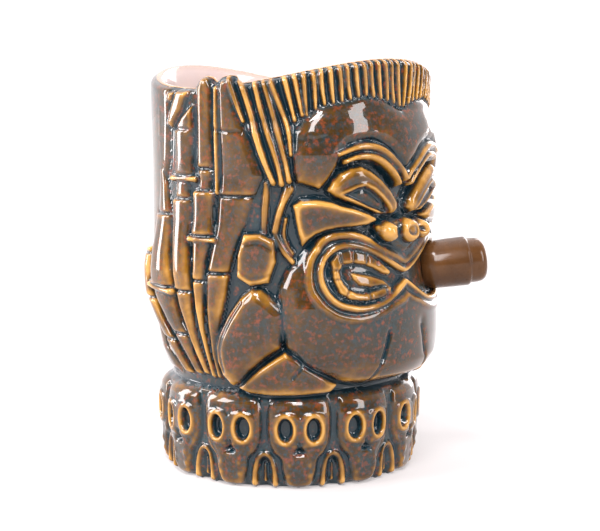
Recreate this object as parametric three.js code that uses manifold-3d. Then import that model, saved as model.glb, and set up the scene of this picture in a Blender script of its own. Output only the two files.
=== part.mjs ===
// Tiki mug: a glazed ceramic cup wearing a squat idol in relief.
// Every relief piece is a separate sprig seated on the cup wall.
//
// Frame: origin at the centre of the flat underside, +Z up, the idol's face towards -Y.
// Places on the wall are given as [angle, height]: the angle in degrees from the middle
// of the face round towards -X (the idol's own right), the height in millimetres.

import * as THREE from 'three';
import { mergeVertices } from 'three/addons/utils/BufferGeometryUtils.js';
import Module from 'manifold-3d';

const wasm = await Module();
wasm.setup();

// ---- Driving dimensions, in millimetres and degrees ----
const GAP = 0.3; // clearance between pieces that sit against each other
const WALL_RADIUS = 49; // outside of the plain cup wall above the foot
const BORE_RADIUS = 44; // inside of the cup
const FLOOR_THICKNESS = 6;
const FOOT_RADIUS = 46.5; // outside of the cup inside the ring of skulls
const SKULL_TOP = 36.5; // height of the ring of skulls
const WAIST = 38.5; // where the idol starts above the skulls
const RIM_LOW = 150; // the rim dips at the two sides
const RIM_RISE = 11; // and climbs this much at the front and back
const RIM_RADIUS = 55.5;
const HAIRLINE = 144;
const SKULL_COUNT = 12;
const SKULL_RADIUS = 54; // how far the skulls' cheekbones reach
const CIGAR_RADIUS = 9.8;
const CIGAR_LENGTH = 27;
const LATHE_STEPS = 40;

const glaze = (colour, roughness) => () =>
  new THREE.MeshStandardMaterial({ color: colour, roughness, metalness: 0 });
const olive = glaze(0x4a3a1c, 0.12);
const amber = glaze(0x8a5f1d, 0.12);
const teal = glaze(0x24302c, 0.1);
const tobacco = glaze(0x5b371b, 0.22);

const mug = new THREE.Group();
const radians = THREE.MathUtils.degToRad;

// ---- Solids ----
function toSolid(geometry) {
  geometry.deleteAttribute('normal');
  geometry.deleteAttribute('uv');
  const merged = mergeVertices(geometry, 1e-4);
  return new wasm.Manifold(
    new wasm.Mesh({
      numProp: 3,
      vertProperties: merged.attributes.position.array,
      triVerts: new Uint32Array(merged.index.array),
    }),
  );
}

function addPiece(name, solid, material) {
  const mesh = solid.getMesh();
  const geometry = new THREE.BufferGeometry();
  geometry.setAttribute('position', new THREE.BufferAttribute(mesh.vertProperties, 3));
  geometry.setIndex(new THREE.BufferAttribute(mesh.triVerts, 1));
  geometry.computeVertexNormals();
  const piece = new THREE.Mesh(geometry, material());
  piece.name = name;
  mug.add(piece);
  return piece;
}

// A ring turned about the mug's axis from a closed outline of [radius, height] points.
function turned(outline) {
  const points = outline.map(([radius, height]) => new THREE.Vector2(radius, height));
  points.push(points[0].clone());
  return toSolid(new THREE.LatheGeometry(points, LATHE_STEPS).rotateX(Math.PI / 2));
}

// Adds points along an outline so that no edge turns through more than a few degrees.
function subdivided(outline) {
  const largestTurn = 8;
  return outline.flatMap(([angle, height], i) => {
    const [nextAngle, nextHeight] = outline[(i + 1) % outline.length];
    const steps = Math.ceil(Math.abs(nextAngle - angle) / largestTurn) || 1;
    return Array.from({ length: steps }, (_, step) => {
      const part = step / steps;
      return new THREE.Vector2(
        THREE.MathUtils.lerp(angle, nextAngle, part),
        THREE.MathUtils.lerp(height, nextHeight, part),
      );
    });
  });
}

// A prism that runs outwards from the mug's axis behind an outline of [angle, height] points.
function radialPrism(outline) {
  const inner = 40;
  const outer = 100;
  const points = subdivided(outline).map(({ x, y }) => new THREE.Vector2(-x, y));
  const settings = { depth: 1, steps: 4, bevelEnabled: false };
  const geometry = new THREE.ExtrudeGeometry(new THREE.Shape(points), settings);
  const position = geometry.attributes.position;
  for (let i = 0; i < position.count; i += 1) {
    const angle = radians(-position.getX(i));
    const radius = inner * (outer / inner) ** position.getZ(i);
    position.setXYZ(i, -radius * Math.sin(angle), -radius * Math.cos(angle), position.getY(i));
  }
  return toSolid(geometry);
}

function ellipsoid(halfWidth, halfDepth, halfHeight, sides = 12, rows = 8) {
  const geometry = new THREE.SphereGeometry(1, sides, rows).rotateX(Math.PI / 2);
  return toSolid(geometry.scale(halfWidth, halfDepth, halfHeight));
}

// Carries a solid made at the front of the mug, facing -Y, round to an angle.
const swing = (solid, angle) => solid.rotate([0, 0, -angle]);

// ---- The wall that everything sits on ----
// A trough that runs across the mug, so that the rim dips at both sides.
function rimTrough() {
  const reach = 70;
  const steps = 14;
  const outline = [];
  for (let i = 0; i <= steps; i += 1) {
    const across = reach * ((2 * i) / steps - 1);
    outline.push(new THREE.Vector2(across, RIM_LOW + RIM_RISE * (across / RIM_RADIUS) ** 2));
  }
  outline.push(new THREE.Vector2(reach, 220), new THREE.Vector2(-reach, 220));
  const shape = new THREE.Shape(outline);
  const geometry = new THREE.ExtrudeGeometry(shape, { depth: 2 * reach, bevelEnabled: false });
  return toSolid(geometry.translate(0, 0, -reach).rotateX(Math.PI / 2).rotateZ(Math.PI / 2));
}

const aboveRim = rimTrough();

function cupShell() {
  const top = RIM_LOW + RIM_RISE + 2;
  const outline = [
    [0, 0],
    [FOOT_RADIUS, 0],
    [FOOT_RADIUS, WAIST],
    [WALL_RADIUS, WAIST + 3],
    [WALL_RADIUS, top],
    [BORE_RADIUS, top],
    [BORE_RADIUS, FLOOR_THICKNESS + 5],
    [BORE_RADIUS - 5, FLOOR_THICKNESS],
    [0, FLOOR_THICKNESS],
  ];
  const points = outline.map(([radius, height]) => new THREE.Vector2(radius, height));
  const blank = new THREE.LatheGeometry(points, LATHE_STEPS).rotateX(Math.PI / 2);
  return toSolid(blank).subtract(aboveRim);
}

// ---- Relief pieces: a turned ring of the right thickness, cut to an outline ----
const SEAT = WALL_RADIUS + GAP;
const FOOT_SEAT = FOOT_RADIUS + GAP;

// How far each part of the relief stands out, as [radius, height] from the bottom up.
const FACE_PROFILE = [
  [51.5, WAIST],
  [58, 43],
  [59.6, 50],
  [59.6, 68],
  [58, 82],
  [57, 96],
  [58.4, 110],
  [59.6, 124],
  [58.8, 135],
  [56, HAIRLINE],
];
const HAND_PROFILE = [
  [50.6, WAIST + 1],
  [52, 46],
  [55.5, 62],
  [57, 82],
  [55.6, 108],
  [56, 165],
];
const BACK_PROFILE = [
  [50.6, WAIST + 1],
  [53.5, 52],
  [54.6, 90],
  [55, 165],
];

function ringOf(profile, lift) {
  const outer = profile.map(([radius, height]) => [radius + lift, height]);
  const bottom = profile[0][1];
  const top = profile[profile.length - 1][1];
  const shoulder = WAIST + 3.5;
  return turned([[SEAT - 0.6, bottom], ...outer, [SEAT, top], [SEAT, shoulder]]);
}

const mirrored = (outline) => outline.map(([angle, height]) => [-angle, height]).reverse();

function addRelief(name, outline, profile, lift, material) {
  const solid = ringOf(profile, lift).intersect(radialPrism(outline));
  return addPiece(name, solid.subtract(aboveRim), material);
}

// The same outline on both sides of the idol.
function addPair(name, outline, profile, lift, material) {
  addRelief(`${name}_right`, outline, profile, lift, material);
  addRelief(`${name}_left`, mirrored(outline), profile, lift, material);
}

// ---- Ring of skulls round the foot ----
const SKULL_PITCH = 360 / SKULL_COUNT;
const RING_RADIUS = 50;

function baseRing() {
  let ring = turned([
    [FOOT_SEAT, 0],
    [RING_RADIUS, 0],
    [RING_RADIUS, SKULL_TOP - 6],
    [FOOT_SEAT + 1, SKULL_TOP - 1],
    [FOOT_SEAT, SKULL_TOP - 1],
  ]);
  const arch = ellipsoid(2.6, 2, 9, 6, 4).translate([0, -RING_RADIUS - 0.4, 6]);
  for (let i = 0; i < SKULL_COUNT; i += 1) {
    ring = ring.subtract(swing(arch, i * SKULL_PITCH));
  }
  return ring;
}

// One skull at the front of the mug: a cranium, a jaw below it and two eye sockets.
function skull() {
  const sink = 7; // how far its middle lies behind the cheekbones
  const eyeSpread = 5;
  const eyeHeight = 23.5;
  const cranium = ellipsoid(11.4, sink, 14.5, 12, 6).translate([0, sink - SKULL_RADIUS, 22]);
  const jaw = toSolid(new THREE.CylinderGeometry(6.8, 5.8, 15, 6).rotateX(Math.PI / 2));
  let solid = cranium.add(jaw.scale([1, 0.8, 1]).translate([0, 5.6 - SKULL_RADIUS, 8.5]));
  for (const side of [-1, 1]) {
    const socket = ellipsoid(2.5, 2.6, 3.4, 6, 4);
    solid = solid.subtract(socket.translate([side * eyeSpread, 0.6 - SKULL_RADIUS, eyeHeight]));
  }
  const backing = turned([
    [0.01, -1],
    [RING_RADIUS + GAP, -1],
    [RING_RADIUS + GAP, SKULL_TOP - 6 + GAP],
    [FOOT_SEAT + 1.4, SKULL_TOP - 1 + GAP],
    [FOOT_SEAT + 1.4, WAIST],
    [0.01, WAIST],
  ]);
  return solid.subtract(backing);
}

function addFoot() {
  addPiece('base_ring', baseRing(), teal);
  const oneSkull = skull();
  for (let i = 0; i < SKULL_COUNT; i += 1) {
    const name = `skull_${String(i + 1).padStart(2, '0')}`;
    addPiece(name, swing(oneSkull, (i + 0.5) * SKULL_PITCH), olive);
  }
}

// ---- Hair: a ridged crown over the brow, and a long lock down each temple ----
const CROWN_HALF_SPAN = 70;
const CROWN_RIDGES = 31;

function hairCrown() {
  const pitch = (2 * CROWN_HALF_SPAN) / CROWN_RIDGES;
  const valley = RIM_RADIUS - 1.3;
  const outline = [];
  const place = (radius, angle) => {
    const turn = radians(angle);
    outline.push(new THREE.Vector2(-radius * Math.sin(turn), -radius * Math.cos(turn)));
  };
  for (let i = 0; i < CROWN_RIDGES; i += 1) {
    const start = i * pitch - CROWN_HALF_SPAN;
    place(valley, start);
    place(RIM_RADIUS, start + pitch * 0.3);
    place(RIM_RADIUS, start + pitch * 0.7);
  }
  place(valley, CROWN_HALF_SPAN);
  const innerSteps = 24;
  for (let i = 0; i <= innerSteps; i += 1) {
    place(SEAT + 0.1, CROWN_HALF_SPAN - (2 * CROWN_HALF_SPAN * i) / innerSteps);
  }
  const bottom = HAIRLINE + GAP;
  const shape = new THREE.Shape(outline);
  const depth = RIM_LOW + RIM_RISE + 4 - bottom;
  const geometry = new THREE.ExtrudeGeometry(shape, { depth, bevelEnabled: false });
  return toSolid(geometry.translate(0, 0, bottom)).subtract(aboveRim);
}

const HAIR_LOCK = [
  [47.8, 116],
  [57, 116],
  [61, 122],
  [69, 140],
  [69.5, HAIRLINE],
  [47.8, HAIRLINE],
];

function addHair() {
  addPiece('hair_crown', hairCrown(), amber);
  addPair('hair_lock', HAIR_LOCK, HAND_PROFILE, -0.4, amber);
}

// ---- Brow, eyes, cheeks and nose ----
const FOREHEAD_HALF = [
  [9, 124],
  [19, 130],
  [28, 128.5],
  [33, 122.5],
  [37, 115.5],
  [47, 115.5],
  [47, HAIRLINE],
];
const BROW = [
  [0.4, 111.5],
  [7, 116.5],
  [18, 124.2],
  [26, 121.7],
  [33, 113.6],
  [36, 115],
  [32, 122],
  [27.5, 127.6],
  [19, 129],
  [9, 123],
  [0.4, 118],
];
const EYELID = [
  [2.5, 104.8],
  [8, 109],
  [16, 113.6],
  [25, 113.4],
  [31.5, 113.3],
  [25.3, 120.7],
  [18, 123.2],
  [7.5, 115.8],
  [2.5, 112],
];
const EYE = [
  [5.5, 104.4],
  [13, 104.8],
  [21, 107.8],
  [31, 112],
  [25, 112.6],
  [16, 112.8],
  [9, 108.6],
];
const CHEEK = [
  [15.5, 101.8],
  [20, 100],
  [27, 99.2],
  [35, 97.5],
  [45, 93],
  [48, 100],
  [48.5, 109],
  [45, 111],
  [34, 109.6],
  [22, 105.6],
];
const NOSE_HEIGHT = 98.8;
const NOSE_REACH = 59.4; // how far forward the middle of the nose tip lies
const NOSTRIL_SPREAD = 9.8;

function noseBead(across, forward, radius) {
  const bead = ellipsoid(radius, radius + 2, radius, 12, 8).translate([across, -forward, NOSE_HEIGHT]);
  return bead.subtract(turned([[0.01, 80], [SEAT, 80], [SEAT, 120], [0.01, 120]]));
}

function addUpperFace() {
  const forehead = [[0, 120], ...FOREHEAD_HALF, ...mirrored(FOREHEAD_HALF)];
  addRelief('forehead', forehead, FACE_PROFILE, 0, olive);
  addPair('brow', BROW, FACE_PROFILE, 1.2, amber);
  addPair('eyelid', EYELID, FACE_PROFILE, 0, olive);
  addPair('eye', EYE, FACE_PROFILE, -2, teal);
  addPair('cheek', CHEEK, FACE_PROFILE, 1, olive);
  addPiece('nose_tip', noseBead(0, NOSE_REACH, 5), amber);
  addPiece('nostril_right', noseBead(-NOSTRIL_SPREAD, NOSE_REACH - 2, 3.9), amber);
  addPiece('nostril_left', noseBead(NOSTRIL_SPREAD, NOSE_REACH - 2, 3.9), amber);
}

// ---- Mouth: a figure of eight on its side, two rings joined by a pinched middle ----
const MOUTH_ANGLE = 26; // where the middle of each ring lies
const MOUTH_HEIGHT = 80.5;
const MOUTH_RADIUS = 59; // standing radius that the rings are drawn on
const PINCH_HEIGHT = 79;
const LIP_OUTER = 15.4;
const LIP_INNER = 10.9;
const TEETH_INNER = 6.4;
const MM_PER_DEGREE = radians(MOUTH_RADIUS);

// Points on a circle about the middle of the right-hand mouth ring; 0 degrees is the ear side.
function mouthArc(radius, from, to, steps) {
  const points = [];
  for (let i = 0; i <= steps; i += 1) {
    const turn = radians(from + ((to - from) * i) / steps);
    const across = (radius * Math.cos(turn)) / MM_PER_DEGREE;
    points.push([MOUTH_ANGLE + across, MOUTH_HEIGHT + radius * Math.sin(turn)]);
  }
  return points;
}

// side is 1 for the upper lip and -1 for the lower one.
function lipOutline(side) {
  const outerHalf = mouthArc(LIP_OUTER, side * 1.2, side * 124, 8);
  const innerHalf = mouthArc(LIP_INNER, side * 146, side * 1.6, 7);
  const outerMiddle = [0, PINCH_HEIGHT + side * 7.3];
  const innerMiddle = [0, PINCH_HEIGHT + side * 1.6];
  return [
    ...outerHalf,
    outerMiddle,
    ...mirrored(outerHalf),
    ...mirrored(innerHalf),
    innerMiddle,
    ...innerHalf,
  ];
}

function teethOutline(side) {
  const outer = mouthArc(LIP_INNER - GAP - 0.2, side * 2, side * 140, 6);
  const inner = mouthArc(TEETH_INNER, side * 140, side * 3, 5);
  return [...outer, ...inner];
}

const TONGUE = [
  [16, 80.8],
  [24, 84.6],
  [29.5, 82.6],
  [30, 78.8],
  [25, 76],
  [19, 77.4],
];

// The cigar points up and away from the middle of the left-hand ring.
const CIGAR_ROOT_RADIUS = 53;
const CIGAR_SWING = -46;
const CIGAR_LIFT = 6;

function alongCigar(solid) {
  const turn = radians(-MOUTH_ANGLE);
  const root = [-CIGAR_ROOT_RADIUS * Math.sin(turn), -CIGAR_ROOT_RADIUS * Math.cos(turn), MOUTH_HEIGHT];
  return swing(solid.rotate([90 - CIGAR_LIFT, 0, 0]), CIGAR_SWING).translate(root);
}

function cigar() {
  const tip = CIGAR_RADIUS * 0.9;
  const outline = [
    [0, 0],
    [CIGAR_RADIUS * 0.96, 0],
    [CIGAR_RADIUS, CIGAR_LENGTH * 0.4],
    [CIGAR_RADIUS, CIGAR_LENGTH * 0.72],
    [tip, CIGAR_LENGTH * 0.76],
    [tip, CIGAR_LENGTH * 0.9],
    [tip * 0.8, CIGAR_LENGTH * 0.98],
    [0, CIGAR_LENGTH],
  ];
  const points = outline.map(([radius, height]) => new THREE.Vector2(radius, height));
  const blank = toSolid(new THREE.LatheGeometry(points, 20).rotateX(Math.PI / 2));
  return alongCigar(blank);
}

function cigarSocket() {
  const bore = new THREE.CylinderGeometry(CIGAR_RADIUS + GAP, CIGAR_RADIUS + GAP, 40, 20);
  return alongCigar(toSolid(bore.rotateX(Math.PI / 2)));
}

function addMouth() {
  const socket = cigarSocket();
  for (const [name, side] of [['upper_lip', 1], ['lower_lip', -1]]) {
    const lip = ringOf(FACE_PROFILE, 1.4).intersect(radialPrism(lipOutline(side)));
    addPiece(name, lip.subtract(socket), amber);
  }
  addRelief('upper_teeth', teethOutline(1), FACE_PROFILE, -0.6, amber);
  addRelief('lower_teeth', teethOutline(-1), FACE_PROFILE, -0.6, amber);
  addRelief('tongue', TONGUE, FACE_PROFILE, -1.6, olive);
  const wall = turned([[0.01, 50], [SEAT, 50], [SEAT, 110], [0.01, 110]]);
  addPiece('cigar', cigar().subtract(wall), tobacco);
}

// ---- Jaw ----
const JOWL = [
  [12.4, 66],
  ...mouthArc(LIP_OUTER + GAP + 0.4, -126, 52, 12),
  [44, 91.8],
  [48.5, 91],
  [51, 85],
  [53, 75],
  [53.4, 58],
  [46, 52.5],
  [35, 47],
  [19.5, 39.5],
  [12.9, 57],
];
const CHIN_HALF = [
  [11.4, 65.8],
  [12, 57],
  [18.4, 39.5],
];

function addJaw() {
  addPair('jowl', JOWL, FACE_PROFILE, 0, olive);
  addRelief('chin', [[0, 70.4], ...CHIN_HALF, ...mirrored(CHIN_HALF)], FACE_PROFILE, 0, olive);
}

// ---- The small body tucked beside the jaw ----
const EAR = [
  [57, 114.6],
  [60.4, 114.6],
  [59.6, 98],
  [56, 92.4],
  [51, 92.4],
  [49.4, 98],
  [50, 114],
  [53, 114],
  [52.6, 99],
  [54.6, 96],
  [56.6, 99],
];
const ARM = [
  [56.8, 91],
  [64.4, 95],
  [66.2, 92.5],
  [68.4, 83],
  [67.4, 80.4],
  [58, 78.8],
  [56.8, 81],
];
const KNEE = [
  [62, 77.5],
  [69.5, 69],
  [77, 57],
  [77.5, 49],
  [72.5, 43],
  [68, 43.5],
  [54.4, 55.5],
  [54.4, 70],
];
const FOOT = [
  [66.5, 42],
  [50, 52.6],
  [45.5, 50],
  [36, 44],
  [29, 39.8],
  [66.5, 39.8],
];

function addBody() {
  addPair('ear', EAR, HAND_PROFILE, -1, amber);
  addPair('arm', ARM, HAND_PROFILE, 1, amber);
  addPair('knee', KNEE, HAND_PROFILE, 2, olive);
  addPair('foot', FOOT, HAND_PROFILE, 3, olive);
}

// ---- Bony hands that hold the head from behind: wrist at the bottom, fingertips at the rim ----
const DIGITS = {
  thumb: [
    [71.2, 160],
    [78.4, 160],
    [78.2, 110],
    [80.2, 91],
    [81.8, 79],
    [84.2, 60],
    [83, 43],
    [80.6, 43],
    [81.3, 60],
    [73.6, 79],
    [70, 91],
    [62.7, 109],
    [59.8, 117.6],
    [62.4, 123],
    [70.4, 141],
  ],
  index: [
    [79.2, 160],
    [90, 160],
    [88.6, 113],
    [91, 111],
    [91, 95],
    [89.6, 78],
    [88.4, 60],
    [86.2, 43],
    [84, 43],
    [85.2, 60],
    [82.8, 79],
    [81.2, 91],
    [79.2, 110],
  ],
  middle: [
    [92.4, 148],
    [102.6, 148],
    [103, 96],
    [99.6, 78],
    [95, 60],
    [90.8, 43],
    [87.4, 43],
    [89.6, 60],
    [91, 78],
    [92.2, 96],
    [92.2, 112],
    [89.8, 118],
    [90.6, 134],
  ],
  ring: [
    [107, 141],
    [117, 141],
    [118.6, 100],
    [118.6, 75],
    [115, 66.5],
    [106, 54],
    [95, 43],
    [92, 43],
    [96.4, 60],
    [101, 78],
    [104.6, 96],
    [104.6, 128],
  ],
  little: [
    [121, 88],
    [136, 88],
    [137, 70],
    [128, 60],
    [112, 49.5],
    [101, 43],
    [96.6, 43],
    [107.8, 54],
    [116.6, 66.5],
    [120, 74],
  ],
};

// The plain back of the mug, between the two hands.
const BACK_HALF = [
  [104, 161],
  [180 - GAP, 165],
  [180 - GAP, 39.5],
  [101, 39.5],
  [103, 42.4],
  [114, 48.5],
  [130, 59],
  [138.6, 70],
  [137.4, 89.6],
  [120.2, 89.6],
  [119.6, 100],
  [118.4, 142.6],
  [106.4, 142.6],
  [104, 140],
];

function addHands() {
  for (const [digit, outline] of Object.entries(DIGITS)) {
    addPair(`${digit}_finger`, outline, HAND_PROFILE, digit === 'little' ? 2 : 0.6, amber);
  }
  addPair('back', BACK_HALF, BACK_PROFILE, 0, olive);
}

addPiece('cup_shell', cupShell(), olive);
addFoot();
addHair();
addUpperFace();
addMouth();
addJaw();
addBody();
addHands();

export default mug;
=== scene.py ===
"""A glazed slip-cast tiki mug: scowling face, skeleton hands, a ring of skulls and a cigar.

The outside is sculpted as one sheet of radii over the unrolled wall, where a degree of turn is
a millimetre. Turn 0 is the front of the face and turn 90 is over the right ear (-X). Each relief
piece raises its own patch of the sheet, and is then cut out of it as a closed solid.
"""

import math

import bpy
import numpy as np
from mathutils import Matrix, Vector


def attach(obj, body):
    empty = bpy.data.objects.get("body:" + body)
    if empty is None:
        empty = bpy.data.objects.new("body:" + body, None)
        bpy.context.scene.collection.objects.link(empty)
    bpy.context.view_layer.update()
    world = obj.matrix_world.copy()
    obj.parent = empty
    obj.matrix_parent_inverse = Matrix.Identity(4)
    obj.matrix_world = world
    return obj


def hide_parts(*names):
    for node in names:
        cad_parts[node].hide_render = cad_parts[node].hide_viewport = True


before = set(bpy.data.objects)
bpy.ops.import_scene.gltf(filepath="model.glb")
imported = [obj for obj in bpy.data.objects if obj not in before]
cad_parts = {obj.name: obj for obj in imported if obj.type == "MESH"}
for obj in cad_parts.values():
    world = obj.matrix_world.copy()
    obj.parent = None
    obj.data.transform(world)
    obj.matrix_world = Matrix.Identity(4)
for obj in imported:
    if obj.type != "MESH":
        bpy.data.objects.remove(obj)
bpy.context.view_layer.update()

MM = 0.001
STEP = 0.42  # spacing of the sheet's points

# Driving dimensions, in mm.
RIM_MIDDLE = 155.5  # mean height of the rim
RIM_SWING = 5.5  # how far the rim rises at front and back, and dips at the sides
LIP = 2.4  # thickness of the wall at the rim
BACK_RADIUS = 47.2  # the backs of the relief pieces, inside the wall
BONE_WAIST = 0.9  # how far each side of a bone draws in at its middle
BORE = 44.0  # radius of the inside
FLOOR = 6.0  # height of the inside's floor
DEPTH = 146.0  # depth of the inside, stretched to run from the rim to its floor
CORNER = 10.0  # radius of the curve between the inside's wall and its floor
FOOT_RECESS = ((0.5, 1.4), (20, 1.4), (40, 1.4), (43, 0.3))  # radius and height under the foot
LIP_ROWS = 6  # rows of points over the lip
SKULL_SPACING = 30
SKULLS_A_SIDE = 6

# Radius of the finished surface against height, in mm.
FACE_HEIGHTS = (37, 39, 42, 47, 55, 70, 80, 94, 100, 108, 118, 126, 134, 139, 143, 149, 161)
FACE_RADII = (50, 54, 57.8, 59.5, 59.9, 59.8, 58.4, 57, 57.3, 58.3, 59.3, 59.7, 59, 57.8, 56.4,
              55.8, 55.4)
HAND_HEIGHTS = (38, 45, 51, 61, 68, 81, 88, 100, 116, 130, 150, 161)
HAND_RADII = (49.2, 51.4, 53.2, 55.6, 57, 57.6, 57.2, 56, 55.4, 55.8, 55.8, 55.2)
WALL_HEIGHTS = (0, 36, 38, 45, 51, 60, 80, 120, 140, 161)
WALL_RADII = (47.4, 47.6, 47.6, 49, 50.6, 52.4, 53.2, 53.4, 53.8, 54)
PLAIN_HEIGHTS = (36, 38, 42, 48, 60, 75, 130, 150, 161)
PLAIN_RADII = (47.4, 47.6, 50, 52.3, 54.2, 55, 55.4, 55.7, 55.2)


# ---- the unrolled sheet

column_count = int(180 / STEP)
row_count = int(RIM_MIDDLE / STEP)
half_turns = np.linspace(0, 180, column_count + 1)
index_tip = 4.2 * np.exp(-((half_turns - 85) / 4.4) ** 4)
thumb_tip = 3.6 * np.exp(-((half_turns - 74.5) / 5.4) ** 4)
rim_heights = RIM_MIDDLE + RIM_SWING * np.cos(2 * np.radians(half_turns)) + (index_tip + thumb_tip)
rise = np.linspace(0, 1, row_count + 1)
TURN = np.tile(half_turns, (row_count + 1, 1))
HEIGHT = rise[:, None] * rim_heights[None, :]


def face_level(offset=0.0):
    """The face's smooth level over the whole sheet, a little flatter towards the temples."""
    level = np.interp(HEIGHT, FACE_HEIGHTS, FACE_RADII)
    side = np.clip((TURN - 22) / 34, 0, 1)
    return level - 1.8 * side ** 2 + offset


def hand_level(offset=0.0):
    """The level of the hands' bones, fullest beside the little finger."""
    level = np.interp(HEIGHT, HAND_HEIGHTS, HAND_RADII)
    fullness = np.exp(-((TURN - 122) / 16) ** 2) * np.exp(-((HEIGHT - 76) / 14) ** 2)
    return level + 1.7 * fullness + offset


def wall_level():
    """The sunken wall between the relief pieces."""
    return np.interp(HEIGHT, WALL_HEIGHTS, WALL_RADII)


def flat_level(radius):
    """A level that is the same all over the sheet."""
    return np.full(HEIGHT.shape, float(radius))


def window(points, margin):
    """The rows and columns of the sheet that hold the points, with a margin round them."""
    low = np.min(points, axis=0) - margin
    high = np.max(points, axis=0) + margin
    columns = np.flatnonzero((half_turns >= low[0]) & (half_turns <= high[0]))
    rows = np.flatnonzero((HEIGHT.max(axis=1) >= low[1]) & (HEIGHT.min(axis=1) <= high[1]))
    if not len(columns) or not len(rows):
        return None
    return slice(rows[0], rows[-1] + 1), slice(columns[0], columns[-1] + 1)


def spline(points, closed=False, cuts=4):
    """A smooth curve through the points (Catmull-Rom)."""
    pts = [np.array(point, float) for point in points]
    count = len(pts)
    spans = count if closed else count - 1
    curve = []
    for i in range(spans):
        before = pts[(i - 1) % count] if closed or i > 0 else 2 * pts[0] - pts[1]
        start, end = pts[i], pts[(i + 1) % count]
        after = pts[(i + 2) % count] if closed or i + 2 < count else 2 * pts[-1] - pts[-2]
        for t in np.linspace(0, 1, cuts, endpoint=False):
            bend = 2 * start + (end - before) * t
            bend = bend + (2 * before - 5 * start + 4 * end - after) * t ** 2
            bend = bend + (3 * start - before - 3 * end + after) * t ** 3
            curve.append(bend / 2)
    if not closed:
        curve.append(pts[-1])
    return np.array(curve)


def beside(start, end, turn, height):
    """The share of the way along a straight line that is nearest, and the distance to it."""
    edge = end - start
    across, up = turn - start[0], height - start[1]
    along = np.clip((across * edge[0] + up * edge[1]) / max(edge @ edge, 1e-9), 0, 1)
    return along, np.hypot(across - along * edge[0], up - along * edge[1])


def inside_distance(outline, where):
    """Distance in mm to a closed outline, positive inside it."""
    turn, height = TURN[where], HEIGHT[where]
    nearest = np.full(turn.shape, 1e9)
    inside = np.zeros(turn.shape, bool)
    for start, end in zip(outline, np.roll(outline, -1, axis=0)):
        nearest = np.minimum(nearest, beside(start, end, turn, height)[1])
        crosses = (start[1] > height) != (end[1] > height)
        rise_by = end[1] - start[1]
        slope = (end[0] - start[0]) / (rise_by if rise_by else 1e-9)
        inside ^= crosses & (turn - start[0] < slope * (height - start[1]))
    return np.where(inside, 1, -1) * nearest


class Relief:
    """The sculpted radius over the sheet, and the piece that each point belongs to."""

    def __init__(self):
        self.radius = wall_level()
        self.owner = np.zeros(TURN.shape, int)
        self.names = ["cup_shell"]

    def number(self, name):
        """The piece's number, made the first time that it is named."""
        if name not in self.names:
            self.names.append(name)
        return self.names.index(name)

    def join(self, name, where, field, fillet):
        """Raises the sheet to the field, with a glazed fillet where the two meet."""
        below = self.radius[where]
        share = np.clip(0.5 + 0.5 * (field - below) / fillet, 0, 1)
        owner = self.owner[where]
        owner[field > below] = self.number(name)
        self.radius[where] = below * (1 - share) + field * share + fillet * share * (1 - share)

    def pad(self, name, points, top, edge=1.6, drop=2.4, smooth=False, fillet=0.7):
        """A flat-topped pad with rounded edges: drop is how far its edges fall."""
        outline = spline(points, closed=True) if smooth else np.array(points, float)
        where = window(outline, 5)
        depth = inside_distance(outline, where)
        bulge = 1 - np.clip(depth / edge, 0, 1)
        field = top[where] - drop * (1 - np.sqrt(np.clip(1 - bulge ** 2, 0, 1)))
        field = field + np.minimum(depth, 0) * 3
        self.join(name, where, field, fillet)

    def rope(self, name, points, top, widths, drop=1.4, fillet=0.5):
        """A rounded ridge along a line: widths are its half widths, start to end."""
        line = spline(points)
        half = np.interp(np.linspace(0, 1, len(line)), np.linspace(0, 1, len(widths)), widths)
        where = window(line, max(widths) + 3)
        if where is None:
            return
        turn, height = TURN[where], HEIGHT[where]
        field = np.full(turn.shape, -1e9)
        for i in range(len(line) - 1):
            along, away = beside(line[i], line[i + 1], turn, height)
            width = half[i] + (half[i + 1] - half[i]) * along
            round_off = 1 - np.sqrt(np.clip(1 - np.clip(away / width, 0, 1) ** 2, 0, 1))
            ridge = -drop * round_off - 3 * np.maximum(away - width, 0)
            field = np.maximum(field, ridge)
        self.join(name, where, top[where] + field, fillet)

    def groove(self, points, depth, width, smooth=True):
        """A soft-edged groove cut along a line, shallower towards its ends."""
        line = spline(points) if smooth else np.array(points, float)
        where = window(line, width * 3)
        if where is None:
            return
        turn, height = TURN[where], HEIGHT[where]
        cut = np.zeros(turn.shape)
        for start, end in zip(line, line[1:]):
            away = beside(start, end, turn, height)[1]
            cut = np.maximum(cut, np.exp(-(away / width) ** 2))
        self.radius[where] -= depth * cut

    def hollow(self, centre, half_size, depth, rim=0.0):
        """An oval hollow with a flat floor and a thin raised rim."""
        reach = np.max(half_size) + 3
        where = window(np.array([centre]), reach)
        if where is None:
            return
        across = (TURN[where] - centre[0]) / half_size[0]
        up = (HEIGHT[where] - centre[1]) / half_size[1]
        away = np.hypot(across, up)
        floor = np.clip((1.06 - away) / 0.34, 0, 1)
        bump = np.exp(-((away - 1.22) / 0.17) ** 2)
        self.radius[where] += rim * bump - depth * floor ** 2 * (3 - 2 * floor)

    def bead(self, name, centre, size, level):
        """A ball standing half out of the sheet."""
        where = window(np.array([centre]), size + 2)
        away = np.hypot(TURN[where] - centre[0], HEIGHT[where] - centre[1])
        cap = np.sqrt(np.clip(size ** 2 - away ** 2, 0, None)) - 3 * np.maximum(away - size, 0)
        self.join(name, where, level + cap, 0.4)


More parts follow.
